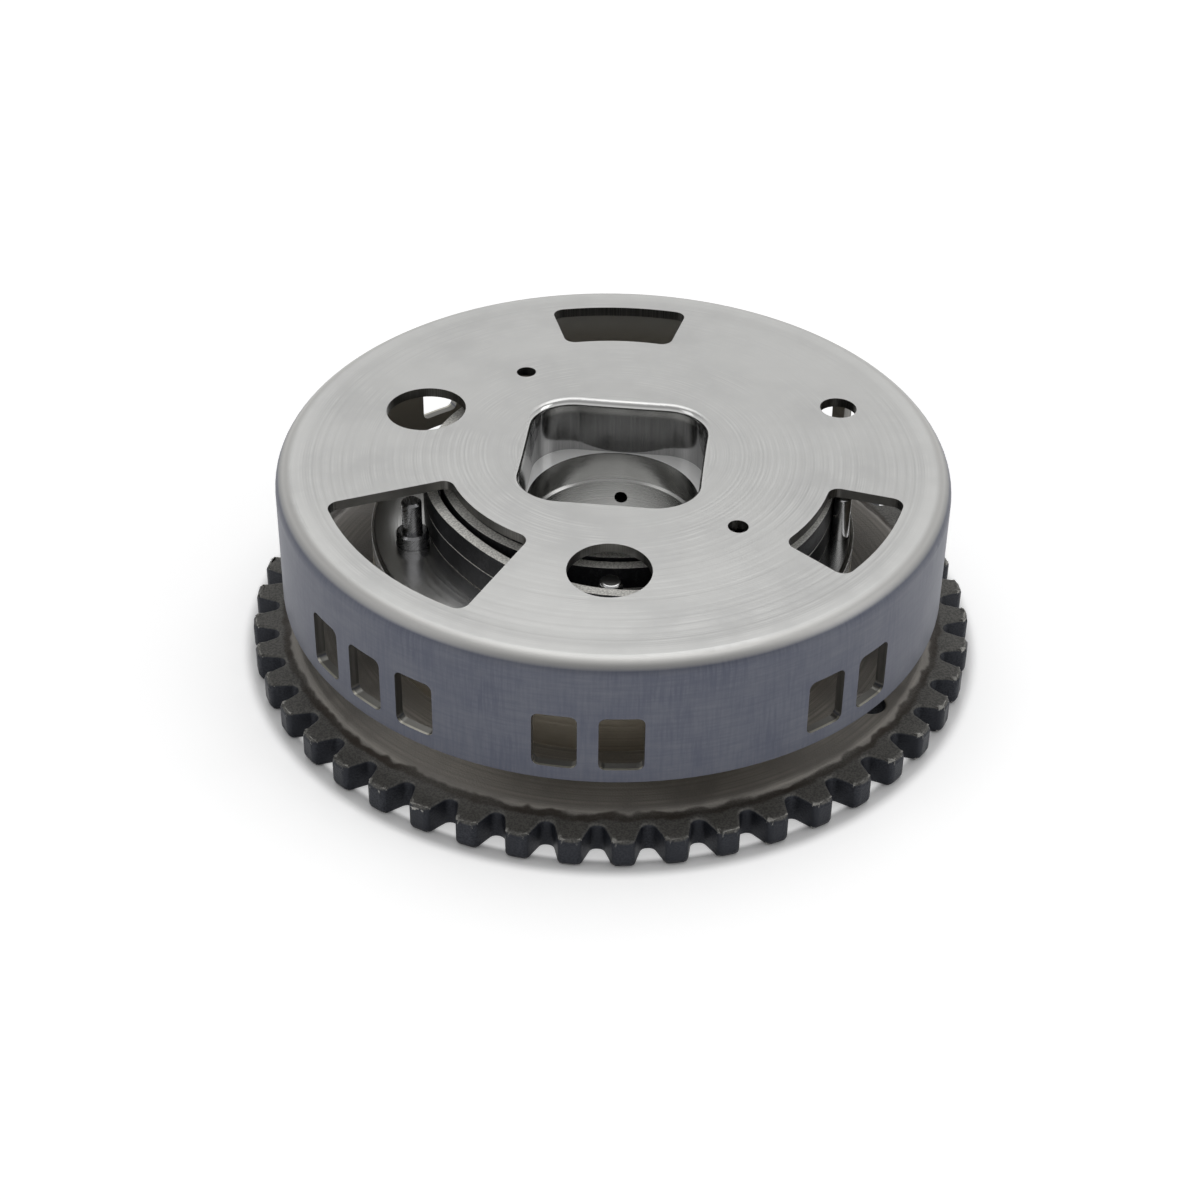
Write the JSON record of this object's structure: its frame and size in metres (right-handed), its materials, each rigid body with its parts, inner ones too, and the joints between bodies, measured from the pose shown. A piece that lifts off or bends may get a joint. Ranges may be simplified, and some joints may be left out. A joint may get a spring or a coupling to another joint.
{
  "type": "cam phaser",
  "caption": "Vane-type camshaft timing adjuster: chain sprocket, vane housing and rotor under a spiral bias spring and a windowed tone wheel.",
  "frame": {"origin": "on the camshaft axis, in the plane of the sprocket's rear face, on which the part stands", "axes": "+Z along the camshaft axis towards the tone wheel; +X to the picture's right, +Y away from its viewer"},
  "size_m": [0.1176, 0.1176, 0.0351],
  "materials": {
    "sprocket_steel": "sintered, steam-treated, machined web",
    "housing_steel": "turned, satin",
    "cover_steel": "ground and polished",
    "post_steel": "ground",
    "screw_steel": "machined",
    "hardened_steel": "hardened and ground",
    "spring_steel": "dark tempered strip",
    "leaf_steel": "rolled strip",
    "rotor_steel": "sintered, bored",
    "tone_wheel_sheet": "drawn sheet, satin face, blue-grey wall",
    "seal_polymer": "moulded"
  },
  "bodies": {
    "housing": {"sprocket": "sprocket_steel", "stator_housing": "housing_steel", "front_cover": "cover_steel", "guide_post": "post_steel", "anchor_post": "post_steel", "cover_screw_1": "screw_steel", "cover_screw_2": "screw_steel", "cover_screw_3": "screw_steel", "post_screw": "screw_steel", "locating_dowel_1": "hardened_steel", "locating_dowel_2": "hardened_steel", "lock_bush": "hardened_steel", "bias_spring_rear": "spring_steel", "bias_spring_front": "spring_steel"},
    "turning_group": {"rotor": "rotor_steel", "tone_wheel": "tone_wheel_sheet", "lock_pin_cap": "post_steel", "lock_pin_spring": "spring_steel", "vane_seal_1": "seal_polymer", "vane_seal_2": "seal_polymer", "vane_seal_3": "seal_polymer", "vane_seal_4": "seal_polymer", "seal_spring_1": "leaf_steel", "seal_spring_2": "leaf_steel", "seal_spring_3": "leaf_steel", "seal_spring_4": "leaf_steel"},
    "lock_pin": {"lock_pin": "hardened_steel"}
  },
  "joints": [
    {"name": "rotor_phasing", "type": "hinge", "parent": "housing", "child": "turning_group", "pos_m": [0, 0, 0], "axis": [0, 0, 1], "range_deg": [-27, 0], "stiffness_Nm_per_rad": 1, "springref_deg": 57.3, "deforming": ["bias_spring_rear", "bias_spring_front"]},
    {"name": "lock_pin_slide", "type": "slide", "parent": "turning_group", "child": "lock_pin", "axis": [0, 0, 1], "range_m": [0, 0.0015], "stiffness_N_per_m": 800, "springref_m": -0.006, "deforming": ["lock_pin_spring"]}
  ]
}
